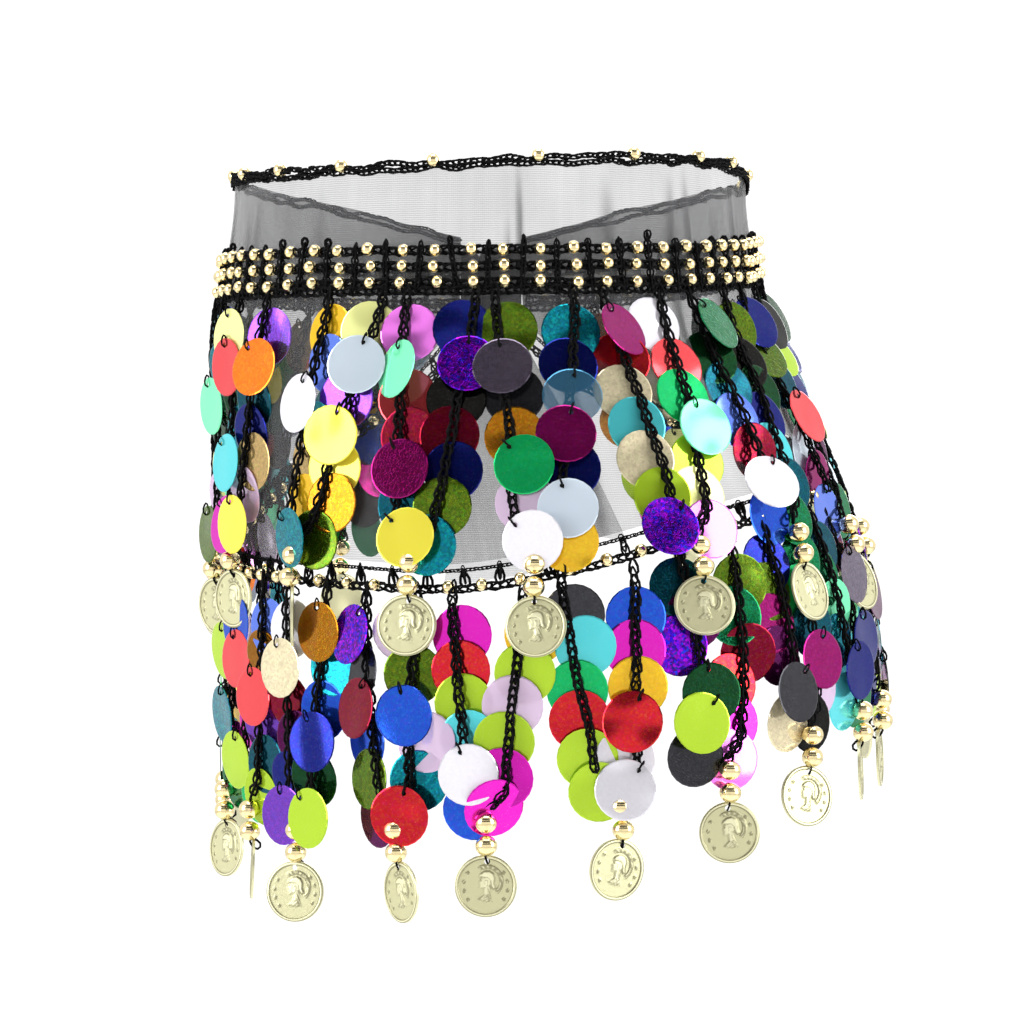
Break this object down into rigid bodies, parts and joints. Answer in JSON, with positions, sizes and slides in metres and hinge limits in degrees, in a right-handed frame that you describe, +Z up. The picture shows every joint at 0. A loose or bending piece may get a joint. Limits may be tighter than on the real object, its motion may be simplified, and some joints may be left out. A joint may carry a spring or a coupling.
{
  "type": "belly dance hip scarf, worn and tied",
  "caption": "Worn hip scarf: a ring of sheer black cloth with a beaded crochet band, two tiers of paillette fringe with coins, and a tie knot",
  "frame": {"origin": "the middle of the ring that the beaded band makes round the wearer, where the wearer holds the scarf", "axes": "+Z is up along the wearer; -X is the wearer's front; -Y is the hip where the scarf is widest and +Y the hip where it is tied"},
  "size_m": [0.2437, 0.3512, 0.2566],
  "materials": {
    "chiffon": "sheer woven chiffon",
    "crochet": "matte crochet thread",
    "paillette": "mirror foil in many colours",
    "coin": "pale gold plated, stamped",
    "gold_bead": "polished gold plating"
  },
  "bodies": {
    "root": {"chiffon_panel": "chiffon", "tie_knot": "chiffon", "tie_end_front": "chiffon", "tie_end_back": "chiffon", "rim_edging": "crochet", "bead_band": "crochet", "hem_edging_front": "crochet", "hem_edging_back": "crochet", "fringe_upper": "paillette", "fringe_lower": "paillette", "coin_upper_01": "coin", "coin_upper_02": "coin", "coin_upper_03": "coin", "coin_upper_04": "coin", "coin_upper_05": "coin", "coin_upper_06": "coin", "coin_upper_07": "coin", "coin_upper_08": "coin", "coin_upper_09": "coin", "coin_upper_10": "coin", "coin_upper_11": "coin", "coin_upper_12": "coin", "coin_upper_13": "coin", "coin_upper_14": "coin", "coin_upper_15": "coin", "coin_upper_16": "coin", "coin_lower_01": "coin", "coin_lower_02": "coin", "coin_lower_03": "coin", "coin_lower_04": "coin", "coin_lower_05": "coin", "coin_lower_06": "coin", "coin_lower_07": "coin", "coin_lower_08": "coin", "coin_lower_09": "coin", "coin_lower_10": "coin", "coin_lower_11": "coin", "coin_lower_12": "coin", "coin_lower_13": "coin", "coin_lower_14": "coin", "coin_lower_15": "coin"}
  },
  "joints": []
}
